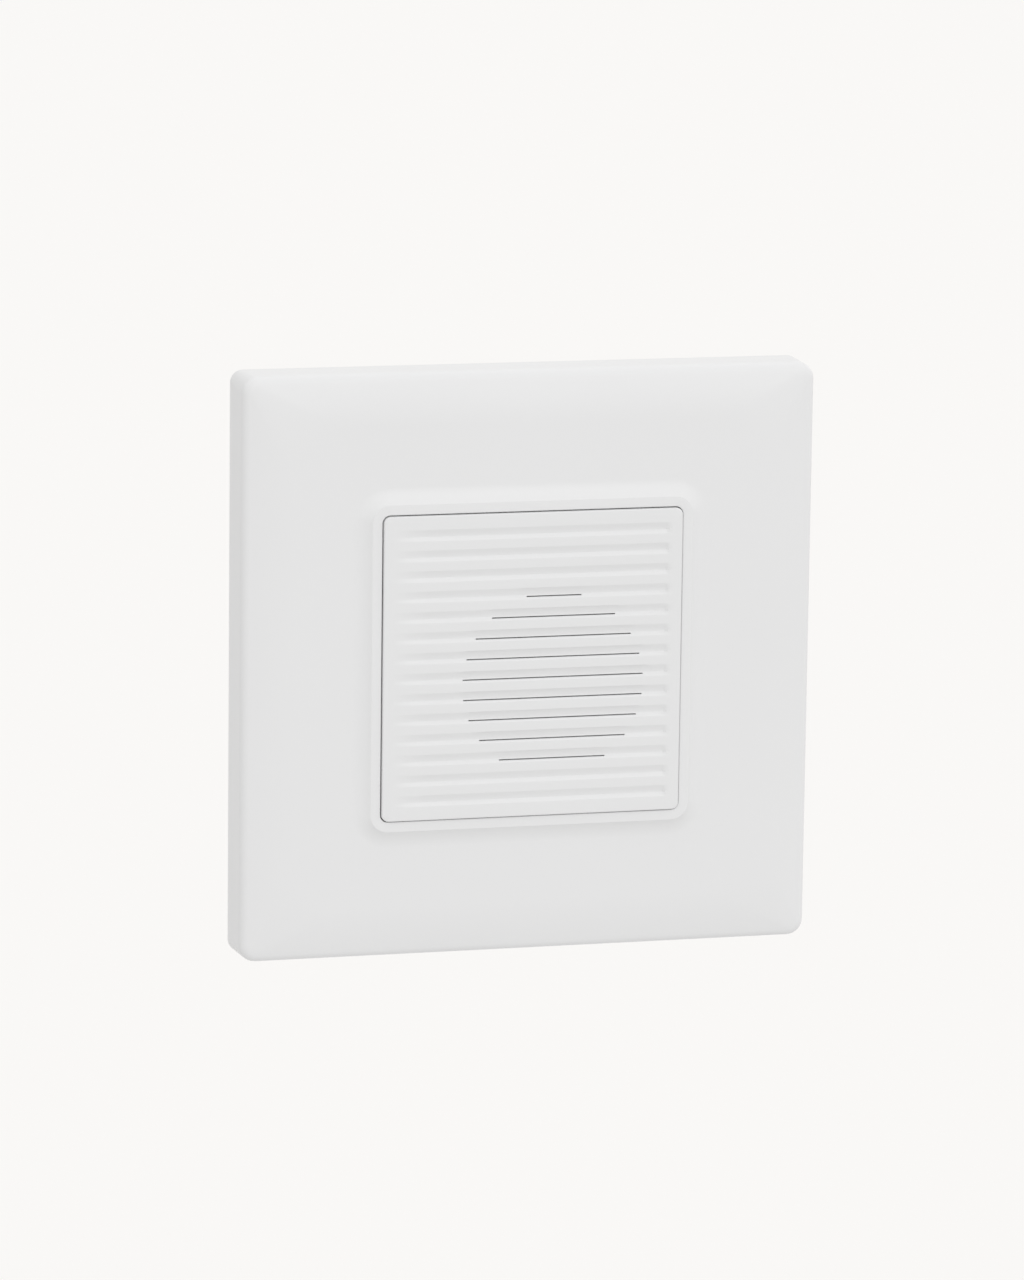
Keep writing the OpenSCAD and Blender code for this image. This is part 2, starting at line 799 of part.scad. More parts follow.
module yoke() {
  base_reach = pole_radius + root;
  color("slategray") upright() difference() {
    union() {
      along_pin(-yoke_half, yoke_half) bent_strip(sounder_x + base_reach);
      on_sounder() translate([0, 0, yoke_bottom]) linear_extrude(yoke_thick)
        rotate(90) oval(2 * (fixing_reach + fixing_boss_radius), 2 * fixing_boss_radius);
      for (near = [-yoke_half, ear_inside])
        along_pin(near, near + ear_thick)
          pivot_outline(leg_outside, pivot_x + ear_radius, leg_top - ear_root);
    }
    on_sounder() translate([0, 0, yoke_bottom - past])
      cylinder(h = yoke_thick + 2 * past, r = core_radius + hole_gap);
    for (y = [-fixing_reach, fixing_reach])
      on_sounder() translate([0, y, yoke_bottom - past])
        cylinder(h = yoke_thick + 2 * past, r = fixing_radius + hole_gap);
    along_pin(-pin_half, pin_half) translate([pivot_x, pivot_z]) circle(pin_radius + hole_gap / 2);
  }
}

module yoke_screws() {
  color("silver") upright() for (y = [-fixing_reach, fixing_reach])
    on_sounder() translate([0, y, base_top]) difference() {
      union() {
        cylinder(h = fixing_head_height, r = fixing_head_radius);
        translate([0, 0, -yoke_thick - fixing_depth])
          cylinder(h = yoke_thick + fixing_depth + root, r = fixing_radius);
      }
      translate([0, 0, fixing_head_height]) cube(
        [3 * fixing_head_radius, driver_slot_width, 2 * driver_slot_depth], center = true
      );
    }
}

// Outline of the armature: broad over the pole, drawn in to a round tip over the spring
module armature_outline() {
  left = pivot_x - ear_radius;
  broad_end = sounder_x + pole_radius;
  half = armature_width / 2;
  polygon([
    [left, -half], [broad_end, -half], [spring_x, -tip_half],
    [spring_x, tip_half], [broad_end, half], [left, half]
  ]);
  translate([spring_x, 0]) intersection() {
    circle(tip_half);
    translate([0, -tip_half]) square(2 * tip_half);
  }
}

module armature() {
  half = armature_width / 2;
  striker_shank = striker_radius / 2;
  color("lightslategray") upright() difference() {
    union() {
      translate([0, sounder_y, armature_bottom]) linear_extrude(armature_thick) armature_outline();
      for (near = [-half, half - lug_thick])
        along_pin(near, near + lug_thick)
          pivot_outline(pivot_x - ear_radius, pivot_x + ear_radius, armature_bottom);
    }
    along_pin(-pin_half, pin_half) translate([pivot_x, pivot_z]) circle(pin_radius + hole_gap);
    on_sounder() translate([0, 0, armature_bottom - past])
      cylinder(h = armature_thick + 2 * past, r = striker_shank);
  }
}

module striker() {
  height = striker_reach - striker_gap;
  dome = 0.6;
  dome_radius = (striker_radius * striker_radius + dome * dome) / (2 * dome);
  color("goldenrod") upright() on_sounder() translate([0, 0, armature_top]) {
    translate([0, 0, -armature_thick]) cylinder(h = armature_thick + root, r = striker_radius / 2);
    intersection() {
      cylinder(h = height + past, r = striker_radius);
      translate([0, 0, height - dome_radius]) sphere(dome_radius);
    }
    cylinder(h = height - dome, r = striker_radius);
  }
}

module hinge_pin() {
  color("silver") upright() along_pin(-pin_half, pin_half)
    translate([pivot_x, pivot_z]) circle(pin_radius);
}

// Points of the spring's wire: rings of corners along a helix about the post
spring_sides = 6;
rings_per_turn = 12;
spring_rings = rings_per_turn * spring_turns;
spring_low = post_top + spring_wire + spring_play;
spring_high = armature_bottom - spring_wire - spring_play;
function spring_point(i, k) =
  let (
    turn = 360 * spring_turns * i / spring_rings,
    around = 360 * k / spring_sides,
    out = spring_radius + spring_wire * cos(around)
  )
  [
    out * cos(turn),
    out * sin(turn),
    spring_low + (spring_high - spring_low) * i / spring_rings + spring_wire * sin(around)
  ];

module return_spring() {
  sides = spring_sides;
  points = [for (i = [0 : spring_rings], k = [0 : sides - 1]) spring_point(i, k)];
  walls = [
    for (i = [0 : spring_rings - 1], k = [0 : sides - 1], half = [0, 1])
      let (a = i * sides + k, b = i * sides + (k + 1) % sides)
      half == 0 ? [a, b, b + sides] : [a, b + sides, a + sides]
  ];
  last = spring_rings * sides;
  ends = [
    for (k = [1 : sides - 2], half = [0, 1])
      half == 0 ? [0, k + 1, k] : [last, last + k, last + k + 1]
  ];
  color("silver") upright() translate([spring_x, sounder_y, 0])
    polyhedron(points, concat(walls, ends));
}

// Square loop round the bar and the wire, with the screw's thread in its rear wall
module terminal_cage(x) {
  color("goldenrod") upright() difference() {
    translate([x - cage_half, cage_low_y, cage_rear])
      cube([2 * cage_half, cage_length, cage_front - cage_rear]);
    translate([x - cage_inside / 2, cage_low_y - past, cage_mouth])
      cube([cage_inside, cage_length + 2 * past, cage_floor - cage_mouth]);
    translate([x, terminal_y, cage_rear - past])
      cylinder(h = cage_nut + 2 * past, r = clamp_screw_radius + hole_gap);
  }
}

module terminal_cage_left() {
  terminal_cage(-terminal_x);
}

module terminal_cage_right() {
  terminal_cage(terminal_x);
}

// Captive screw with its slotted head towards the rear
module terminal_screw(x) {
  color("silver") upright() translate([x, terminal_y, head_bottom]) difference() {
    union() {
      cylinder(h = clamp_head_height, r = clamp_head_radius);
      cylinder(h = clamp_tip - head_bottom, r = clamp_screw_radius);
    }
    cube([3 * clamp_head_radius, driver_slot_width, 2 * driver_slot_depth], center = true);
  }
}

module terminal_screw_left() {
  terminal_screw(-terminal_x);
}

module terminal_screw_right() {
  terminal_screw(terminal_x);
}

module contact_bar(x) {
  color("goldenrod") upright() translate([x - bar_half, bar_low, bar_rear])
    cube([2 * bar_half, bar_high - bar_low, bar_thick]);
}

module contact_bar_left() {
  contact_bar(-terminal_x);
}

module contact_bar_right() {
  contact_bar(terminal_x);
}

// Straight wire from one point to another in the plane of the bars
module wire(from, to) {
  run = to - from;
  translate([from[0], from[1], bar_level]) rotate([0, 90, atan2(run[1], run[0])])
    cylinder(h = norm(run), r = lead_radius);
}

// Lead that leaves the winding, bends once and meets the end of its contact bar
module coil_lead(side) {
  offset_x = side * coil_radius / 2;
  start = [
    sounder_x + offset_x,
    sounder_y + sqrt(pow(coil_radius + lead_radius, 2) - offset_x * offset_x)
  ];
  bend = [start[0], bar_low - lead_slack];
  finish = [side * terminal_x, bar_low];
  color("peru") upright() {
    wire(start, bend);
    translate([bend[0], bend[1], bar_level]) sphere(lead_radius);
    intersection() {
      wire(bend, finish + (finish - bend) / norm(finish - bend));
      translate([-face_half, -face_half, rear_outside]) cube([face_side, face_half + bar_low, body_depth]);
    }
  }
}

module coil_lead_left() {
  coil_lead(-1);
}

module coil_lead_right() {
  coil_lead(1);
}

cover_plate();
support_frame();
grille_front();
module_housing();
sounder_disc();
disc_retainer();
coil_bobbin();
coil_winding();
core_pin();
yoke();
yoke_screws();
armature();
striker();
hinge_pin();
return_spring();
terminal_cage_left();
terminal_cage_right();
terminal_screw_left();
terminal_screw_right();
contact_bar_left();
contact_bar_right();
coil_lead_left();
coil_lead_right();
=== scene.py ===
"""Looks of a flush-mounted door chime: a clip-on plate round a grooved sounder module in a wall frame."""

import math

import bmesh
import bpy
from mathutils import Matrix, Quaternion, Vector


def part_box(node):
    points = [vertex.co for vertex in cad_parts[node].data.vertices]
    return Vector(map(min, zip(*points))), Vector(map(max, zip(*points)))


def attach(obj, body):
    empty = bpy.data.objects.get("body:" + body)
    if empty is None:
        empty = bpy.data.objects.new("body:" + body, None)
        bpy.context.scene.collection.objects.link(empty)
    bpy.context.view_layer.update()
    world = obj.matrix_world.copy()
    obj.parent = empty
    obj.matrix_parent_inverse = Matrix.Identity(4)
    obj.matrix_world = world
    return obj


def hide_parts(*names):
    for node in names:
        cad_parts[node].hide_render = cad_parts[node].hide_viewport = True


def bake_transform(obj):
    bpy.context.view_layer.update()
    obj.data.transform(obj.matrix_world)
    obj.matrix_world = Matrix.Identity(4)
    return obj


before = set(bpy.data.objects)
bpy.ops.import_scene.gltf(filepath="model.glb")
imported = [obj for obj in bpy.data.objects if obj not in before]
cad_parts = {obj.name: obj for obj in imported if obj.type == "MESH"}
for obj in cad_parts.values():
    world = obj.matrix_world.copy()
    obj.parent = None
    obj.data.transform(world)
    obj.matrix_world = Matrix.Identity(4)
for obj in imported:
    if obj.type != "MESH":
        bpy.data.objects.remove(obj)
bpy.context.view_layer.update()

# Camera: a long lens a little to the left of the plate and above it, as the photograph was taken.
# It is placed by its angles round the plate, and the sensor's long side is the frame's height.
view_azimuth = math.radians(-15.404)
view_elevation = math.radians(10.605)
view_roll = math.radians(0.72)
view_distance = 0.94092
view_aim = Vector((-0.000352, 0, 0.001766))
sensor_height = 36
lens_length = 182.14

towards_camera = Vector((
    math.sin(view_azimuth) * math.cos(view_elevation),
    -math.cos(view_azimuth) * math.cos(view_elevation),
    math.sin(view_elevation),
))
camera_data = bpy.data.cameras.new("camera")
camera_data.sensor_width = sensor_height
camera_data.lens = lens_length
camera = bpy.data.objects.new("camera", camera_data)
bpy.context.scene.collection.objects.link(camera)
camera.rotation_mode = "QUATERNION"
camera.location = view_aim + view_distance * towards_camera
camera.rotation_quaternion = (-towards_camera).to_track_quat("-Z", "Y") @ Quaternion((0, 0, 1), view_roll)
bpy.context.scene.camera = camera
bpy.context.scene.view_settings.view_transform = "Standard"

# Studio: a broad pale floor well below the plate, an even sky, a very wide soft lamp high in front and a
# smaller one low in front. Floor and sky are paler to look at than the light that they send to the plate.
floor_level = -0.8
floor_reach = 20
floor_colour = (0.983, 0.972, 0.958, 1)
floor_light = (0.745, 0.743, 0.737, 1)
backdrop_colour = (0.947, 0.939, 0.922, 1)
sky_colour = (0.51, 0.509, 0.507, 1)
high_lamp_strength = 1.4
high_lamp_spread = math.radians(180)
high_lamp_direction = Vector((0.23, -0.433, 0.872))
front_lamp_strength = 0.365
front_lamp_spread = math.radians(40)
front_lamp_direction = Vector((0.27, -0.9, 0.34))


def seen_directly(nodes, links):
    """Output that is one where the camera, a mirror or clear glass looks, and nought for other light."""
    ray = nodes.new("ShaderNodeLightPath")
    seen_or_mirrored = nodes.new("ShaderNodeMath")
    seen_or_mirrored.operation = "MAXIMUM"
    seen_in_any_way = nodes.new("ShaderNodeMath")
    seen_in_any_way.operation = "MAXIMUM"
    links.new(ray.outputs["Is Camera Ray"], seen_or_mirrored.inputs[0])
    links.new(ray.outputs["Is Glossy Ray"], seen_or_mirrored.inputs[1])
    links.new(seen_or_mirrored.outputs["Value"], seen_in_any_way.inputs[0])
    links.new(ray.outputs["Is Transmission Ray"], seen_in_any_way.inputs[1])
    return seen_in_any_way.outputs["Value"]


def add_lamp(name, strength, spread, direction):
    """Adds a far lamp that shines from a direction."""
    data = bpy.data.lights.new(name, "SUN")
    data.energy = strength
    data.angle = spread
    lamp = bpy.data.objects.new(name, data)
    lamp.rotation_mode = "QUATERNION"
    lamp.rotation_quaternion = direction.to_track_quat("Z", "Y")
    bpy.context.scene.collection.objects.link(lamp)


floor_form = bmesh.new()
bmesh.ops.create_grid(floor_form, x_segments=1, y_segments=1, size=floor_reach)
bmesh.ops.translate(floor_form, verts=floor_form.verts, vec=(0, 0, floor_level))
floor_mesh = bpy.data.meshes.new("floor")
floor_form.to_mesh(floor_mesh)
floor_form.free()
floor = bpy.data.objects.new("floor", floor_mesh)
bpy.context.scene.collection.objects.link(floor)
floor_paper = bpy.data.materials.new("floor paper")
floor_paper.use_nodes = True
paper_nodes = floor_paper.node_tree.nodes
paper_links = floor_paper.node_tree.links
paper_shader = paper_nodes["Principled BSDF"]
paper_shader.inputs["Roughness"].default_value = 1
paper_shader.inputs["Specular IOR Level"].default_value = 0
paper_tint = paper_nodes.new("ShaderNodeMix")
paper_tint.data_type = "RGBA"
paper_tint.inputs["A"].default_value = floor_light
paper_tint.inputs["B"].default_value = floor_colour
paper_links.new(seen_directly(paper_nodes, paper_links), paper_tint.inputs["Factor"])
paper_links.new(paper_tint.outputs["Result"], paper_shader.inputs["Base Color"])
floor_mesh.materials.append(floor_paper)

add_lamp("high lamp", high_lamp_strength, high_lamp_spread, high_lamp_direction)
add_lamp("front lamp", front_lamp_strength, front_lamp_spread, front_lamp_direction)

sky = bpy.data.worlds.new("sky")
sky.use_nodes = True
bpy.context.scene.world = sky
sky_nodes = sky.node_tree.nodes
sky_links = sky.node_tree.links
sky_light = sky_nodes["Background"]
sky_light.inputs["Color"].default_value = sky_colour
sky_seen = sky_nodes.new("ShaderNodeBackground")
sky_seen.inputs["Color"].default_value = backdrop_colour
sky_choice = sky_nodes.new("ShaderNodeMixShader")
sky_links.new(seen_directly(sky_nodes, sky_links), sky_choice.inputs["Fac"])
sky_links.new(sky_light.outputs["Background"], sky_choice.inputs[1])
sky_links.new(sky_seen.outputs["Background"], sky_choice.inputs[2])
sky_links.new(sky_choice.outputs["Shader"], sky_nodes["World Output"].inputs["Surface"])


# Support frame: the moulding that the wall box's screws hold flat to the wall, with the collar that
# carries the module and four sockets for the plate's clips. Pale grey plastic with an eroded finish.
frame_grey = (0.56, 0.57, 0.57, 1)
frame_edge = 0.00015
drift_scale = 40
drift_detail = 2
drift_gloss = 0.05
grain_scale = 2500
grain_detail = 3
grain_strength = 0.4
crisp_angle = math.radians(35)
eased_angle = math.radians(40)
eased_steps = 2
flat_angle = math.radians(0.5)
weld_distance = 1e-6


def moulded_plastic(name, colour, darker, roughness, grain_depth):
    """Opaque plastic: fine eroded grain, slow drift of the shade and small changes of gloss."""
    material = bpy.data.materials.new(name)
    material.use_nodes = True
    nodes = material.node_tree.nodes
    links = material.node_tree.links
    shader = nodes["Principled BSDF"]
    place = nodes.new("ShaderNodeTexCoord")

    drift = nodes.new("ShaderNodeTexNoise")
    drift.inputs["Scale"].default_value = drift_scale
    drift.inputs["Detail"].default_value = drift_detail
    shade = nodes.new("ShaderNodeMix")
    shade.data_type = "RGBA"
    shade.inputs["A"].default_value = colour
    shade.inputs["B"].default_value = [channel * darker for channel in colour[:3]] + [1]
    links.new(place.outputs["Object"], drift.inputs["Vector"])
    links.new(drift.outputs["Fac"], shade.inputs["Factor"])
    links.new(shade.outputs["Result"], shader.inputs["Base Color"])

    gloss = nodes.new("ShaderNodeMapRange")
    gloss.inputs["To Min"].default_value = roughness - drift_gloss
    gloss.inputs["To Max"].default_value = roughness + drift_gloss
    links.new(drift.outputs["Fac"], gloss.inputs["Value"])
    links.new(gloss.outputs["Result"], shader.inputs["Roughness"])

    grain = nodes.new("ShaderNodeTexNoise")
    grain.inputs["Scale"].default_value = grain_scale
    grain.inputs["Detail"].default_value = grain_detail
    bump = nodes.new("ShaderNodeBump")
    bump.inputs["Strength"].default_value = grain_strength
    bump.inputs["Distance"].default_value = grain_depth
    links.new(place.outputs["Object"], grain.inputs["Vector"])
    links.new(grain.outputs["Fac"], bump.inputs["Height"])
    links.new(bump.outputs["Normal"], shader.inputs["Normal"])
    return material


def finished(form, name):
    """Turns a bmesh into an object with smooth curves, crisp edges and evenly shaded flats."""
    for face in form.faces:
        face.smooth = True
    mesh = bpy.data.meshes.new(name)
    form.to_mesh(mesh)
    form.free()
    mesh.set_sharp_from_angle(angle=crisp_angle)
    piece = bpy.data.objects.new(name, mesh)
    bpy.context.scene.collection.objects.link(piece)
    piece.modifiers.new("even flats", "WEIGHTED_NORMAL").keep_sharp = True
    return piece


def eased_copy(node, name, radius):
    """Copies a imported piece, closes its seams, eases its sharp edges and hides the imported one."""
    form = bmesh.new()
    form.from_mesh(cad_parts[node].data)
    bmesh.ops.remove_doubles(form, verts=form.verts, dist=weld_distance)
    bmesh.ops.dissolve_limit(form, angle_limit=flat_angle, verts=form.verts, edges=form.edges)
    sharp = [edge for edge in form.edges if edge.calc_face_angle(0) > eased_angle]
    bmesh.ops.bevel(
        form, geom=sharp, offset=radius, segments=eased_steps, profile=0.5, affect="EDGES",
        clamp_overlap=True, material=-1,
    )
    piece = finished(form, name)
    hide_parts(node)
    return piece


frame_plastic = moulded_plastic(
    "pale grey frame plastic", frame_grey, darker=0.96, roughness=0.55, grain_depth=0.000012,
)
frame_moulding = eased_copy("support_frame", "frame_moulding", frame_edge)
frame_moulding.data.materials.append(frame_plastic)
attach(frame_moulding, "base")

# Module housing: the white body that is pushed through the frame into the wall box. Its flange rests on
# the frame's collar, and two side latches hold it. Moulded in one piece with its terminal pockets, screw
# bosses and the post for the return spring.
housing_white = (0.74, 0.74, 0.73, 1)
housing_edge = 0.0002

housing_plastic = moulded_plastic(
    "white housing plastic", housing_white, darker=0.97, roughness=0.5, grain_depth=0.000015,
)
housing_moulding = eased_copy("module_housing", "housing_moulding", housing_edge)
housing_moulding.data.materials.append(housing_plastic)
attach(housing_moulding, "base")

# Yoke, core and armature: the iron of the electromagnet, stamped from strip or turned, then zinc plated.
# The yoke is screwed to the housing's bosses, and the armature swings on a pin through the yoke's ears.
soft_iron = (0.5, 0.51, 0.53, 1)
bright_steel = (0.66, 0.66, 0.65, 1)
cloud_scale = 300
cloud_detail = 4
cloud_darker = 0.8
line_scale = 4000
line_detail = 2
line_gloss = 0.08
line_strength = 0.3
line_depth = 0.000008
line_stretch = 0.05
along_x = (line_stretch, 1, 1)
along_y = (1, line_stretch, 1)
along_z = (1, 1, line_stretch)


def plated_metal(name, colour, roughness, drawn_along):
    """Metal with the faint lines of drawing or rolling and a cloudy plating."""
    material = bpy.data.materials.new(name)
    material.use_nodes = True
    nodes = material.node_tree.nodes
    links = material.node_tree.links
    shader = nodes["Principled BSDF"]
    shader.inputs["Metallic"].default_value = 1
    place = nodes.new("ShaderNodeTexCoord")

    clouds = nodes.new("ShaderNodeTexNoise")
    clouds.inputs["Scale"].default_value = cloud_scale
    clouds.inputs["Detail"].default_value = cloud_detail
    tint = nodes.new("ShaderNodeMix")
    tint.data_type = "RGBA"
    tint.inputs["A"].default_value = colour
    tint.inputs["B"].default_value = [channel * cloud_darker for channel in colour[:3]] + [1]
    links.new(place.outputs["Object"], clouds.inputs["Vector"])
    links.new(clouds.outputs["Fac"], tint.inputs["Factor"])
    links.new(tint.outputs["Result"], shader.inputs["Base Color"])

    stretched = nodes.new("ShaderNodeMapping")
    stretched.inputs["Scale"].default_value = drawn_along
    lines = nodes.new("ShaderNodeTexNoise")
    lines.inputs["Scale"].default_value = line_scale
    lines.inputs["Detail"].default_value = line_detail
    gloss = nodes.new("ShaderNodeMapRange")
    gloss.inputs["To Min"].default_value = roughness - line_gloss
    gloss.inputs["To Max"].default_value = roughness + line_gloss
    bump = nodes.new("ShaderNodeBump")
    bump.inputs["Strength"].default_value = line_strength
    bump.inputs["Distance"].default_value = line_depth
    links.new(place.outputs["Object"], stretched.inputs["Vector"])
    links.new(stretched.outputs["Vector"], lines.inputs["Vector"])
    links.new(lines.outputs["Fac"], gloss.inputs["Value"])
    links.new(gloss.outputs["Result"], shader.inputs["Roughness"])
    links.new(lines.outputs["Fac"], bump.inputs["Height"])
    links.new(bump.outputs["Normal"], shader.inputs["Normal"])
    return material


def dress(material, *names):
    """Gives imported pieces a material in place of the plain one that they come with."""
    for name in names:
        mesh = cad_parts[name].data
        mesh.materials.clear()
        mesh.materials.append(material)


iron_strip = plated_metal("plated iron strip", soft_iron, roughness=0.38, drawn_along=along_z)
iron_bar = plated_metal("plated iron bar", soft_iron, roughness=0.34, drawn_along=along_y)
dress(iron_strip, "yoke", "armature")
dress(iron_bar, "core_pin")
steel_wire = plated_metal("bright steel wire", bright_steel, roughness=0.24, drawn_along=along_z)
dress(steel_wire, "hinge_pin")

# Return spring: hard steel wire coiled with closed ends, which presses the armature's tip off the pole.
# It sits on the housing's post, with its front end against the armature.
spring_low, spring_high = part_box("return_spring")
spring_middle = (spring_low + spring_high) / 2
end_turns = 1
open_turns = 4
turn_steps = 32
wire_radius = 0.00022
wire_sides = 10
end_pitch = 2.1 * wire_radius

coil_radius = (spring_high.x - spring_low.x) / 2 - wire_radius
open_length = spring_high.y - spring_low.y - 2 * wire_radius - 2 * end_turns * end_pitch
open_pitch = open_length / open_turns
spring_form = bmesh.new()
bmesh.ops.create_circle(spring_form, cap_ends=True, segments=wire_sides, radius=wire_radius)
wire_start = (coil_radius, spring_low.y + wire_radius, 0)
bmesh.ops.translate(spring_form, verts=spring_form.verts, vec=wire_start)
wire_end = spring_form.verts[:] + spring_form.edges[:] + spring_form.faces[:]
for turns, pitch in ((end_turns, end_pitch), (open_turns, open_pitch), (end_turns, end_pitch)):
    wire_end = bmesh.ops.spin(
        spring_form, geom=wire_end, cent=(0, 0, 0), axis=(0, 1, 0), dvec=(0, pitch / turn_steps, 0),
        angle=2 * math.pi * turns, steps=turns * turn_steps,
    )["geom_last"]
bmesh.ops.recalc_face_normals(spring_form, faces=spring_form.faces)
bmesh.ops.translate(spring_form, verts=spring_form.verts, vec=(spring_middle.x, 0, spring_middle.z))
coiled_spring = finished(spring_form, "coiled_spring")
coiled_spring.data.materials.append(steel_wire)
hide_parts("return_spring")
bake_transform(coiled_spring)

# Bobbin and disc retainer: ivory plastic that stands the coil's heat, moulded without any texture.
# The bobbin slips over the core, and the retainer is pressed in behind the disc.
ivory = (0.68, 0.6, 0.42, 1)

bobbin_plastic = moulded_plastic(
    "ivory bobbin plastic", ivory, darker=0.94, roughness=0.4, grain_depth=0.000004,
)
dress(bobbin_plastic, "coil_bobbin", "disc_retainer")

# Winding: enamelled copper wire laid in even rows on the bobbin, between its two flanges.
# Only the outer row shows, so it is turned as one sleeve whose outside has a ridge for each turn.
winding_low, winding_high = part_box("coil_winding")
winding_axis = (winding_low + winding_high) / 2
winding_radius = (winding_high.x - winding_low.x) / 2
winding_hub = 0.004
winding_turns = 24
ridge_steps = 6
winding_steps = 72
enamelled_copper = (0.55, 0.2, 0.07, 1)
enamel_coat = 0.6

turn_pitch = (winding_high.y - winding_low.y) / winding_turns
winding_form = bmesh.new()
outside = [winding_form.verts.new((winding_hub, winding_low.y, 0))]
for step in range(winding_turns * ridge_steps + 1):
    swell = abs(math.sin(math.pi * step / ridge_steps))
    reach = winding_radius - turn_pitch / 2 * (1 - swell)
    outside.append(winding_form.verts.new((reach, winding_low.y + turn_pitch * step / ridge_steps, 0)))
outside.append(winding_form.verts.new((winding_hub, winding_high.y, 0)))
profile = [winding_form.edges.new(pair) for pair in zip(outside, outside[1:] + outside[:1])]
bmesh.ops.spin(
    winding_form, geom=outside + profile, cent=(0, 0, 0), axis=(0, 1, 0), angle=2 * math.pi,
    steps=winding_steps, use_merge=True,
)
bmesh.ops.remove_doubles(winding_form, verts=winding_form.verts, dist=weld_distance)
bmesh.ops.recalc_face_normals(winding_form, faces=winding_form.faces)
bmesh.ops.translate(winding_form, verts=winding_form.verts, vec=(winding_axis.x, 0, winding_axis.z))
wound_coil = finished(winding_form, "wound_coil")
copper_wire = plated_metal("enamelled copper wire", enamelled_copper, roughness=0.3, drawn_along=along_y)
copper_wire.node_tree.nodes["Principled BSDF"].inputs["Coat Weight"].default_value = enamel_coat
wound_coil.data.materials.append(copper_wire)
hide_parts("coil_winding")
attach(wound_coil, "base")
dress(copper_wire, "coil_lead_left", "coil_lead_right")

# Terminals and striker: brass cages that lift the wires against brass bars, each drawn by a captive
# plated screw. The striker is a turned brass stud, riveted through the armature.
brass = (0.72, 0.5, 0.2, 1)
screw_steel = (0.62, 0.62, 0.6, 1)

drawn_brass = plated_metal("drawn brass", brass, roughness=0.3, drawn_along=along_z)
plated_screw = plated_metal("plated screw steel", screw_steel, roughness=0.32, drawn_along=along_y)
dress(drawn_brass, "terminal_cage_left", "terminal_cage_right", "contact_bar_left", "contact_bar_right")
dress(drawn_brass, "striker")
dress(plated_screw, "terminal_screw_left", "terminal_screw_right", "yoke_screws")

# Sounder disc: a thin spring-steel disc that rings when the striker taps it.
# It is blanked from rolled strip and lies loose in its seat behind the slots.
disc_steel = plated_metal("rolled spring steel", bright_steel, roughness=0.28, drawn_along=along_x)
dress(disc_steel, "sounder_disc")

# Grille front: the cap that closes the module, with fourteen shallow hollow grooves across its face and
# thin slots in nine of them for the sound. White plastic, clipped on to the housing's spigot.
grille_white = (0.803, 0.805, 0.809, 1)
millimetre = 0.001
from_drawing = Matrix.Rotation(math.radians(90), 4, "X") @ Matrix.Scale(millimetre, 4)
drawing_tolerance = 0.001
grille_low, grille_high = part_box("grille_front")
face_half = grille_high.x / millimetre
face_corner = 1.0
face_edge = 0.2
face_lift = 0.05
face_top = -grille_low.y / millimetre + face_lift
face_thick = 1.8
skirt_wall = 1.5
skirt_corner = 0.5
skirt_end = 5.8
groove_count = 14
groove_pitch = 2.975
groove_left = -20.6
groove_right = 20.2
groove_runout = 5.0
runout_steps = 5
groove_end = 0.45
# From a groove's upper lip to its lower one: height above its middle, depth, and depth where slotted.
groove_outline = (
    (0.9, 0, 0), (0.75, 0.05, 0.12), (0.45, 0.19, 0.31), (0.1, 0.3, 0.4),
    (-0.18, 0.345, 0.44), (-0.28, 0.335, 0.43), (-0.72, 0.07, 0.09), (-0.9, 0, 0),
)
field_half = 20.8
slot_height = 0.17
slot_drop = 0.45
slot_shortest = 5.0
slot_fade = 1.5
sounder_axis = (3.1, -2.9)
field_radius = 13.5
# Radius and height of each corner of the ring that seats the disc and its retainer.
seat_ring = ((13.9, 8.6), (13.9, 7.1), (14.3, 7.1), (14.3, 5.6), (15.5, 5.6), (15.5, 8.6))
seat_steps = 72
corner_steps = 8
edge_steps = 4

groove_middles = [(i - (groove_count - 1) / 2) * groove_pitch for i in range(groove_count)]
groove_half = groove_outline[0][0]


def slot_half(middle):
    """Half the length of a groove's slot, or nought where the groove has none."""
    above_axis = middle - slot_drop - sounder_axis[1]
    half = math.sqrt(max(0, field_radius ** 2 - above_axis ** 2))
    return half if half > slot_shortest / 2 else 0


def hollow_at(x, y):
    """Depth of the face at a point: that of the nearest groove, or none beside and beyond the grooves."""
    middle = min(groove_middles, key=lambda height: abs(y - height))
    share = max(0, min(1, (x - groove_left) / groove_runout, (groove_right - x) / groove_end))
    beyond_slot = abs(x - sounder_axis[0]) - slot_half(middle)
    slotted = max(0, min(1, 1 - beyond_slot / slot_fade)) if slot_half(middle) else 0
    for (upper, plain, steep), (lower, next_plain, next_steep) in zip(groove_outline, groove_outline[1:]):
        if lower <= y - middle <= upper:
            down = (upper - y + middle) / (upper - lower)
            depth = plain + (steep - plain) * slotted
            next_depth = next_plain + (next_steep - next_plain) * slotted
            return share * (depth + (next_depth - depth) * down)
    return 0


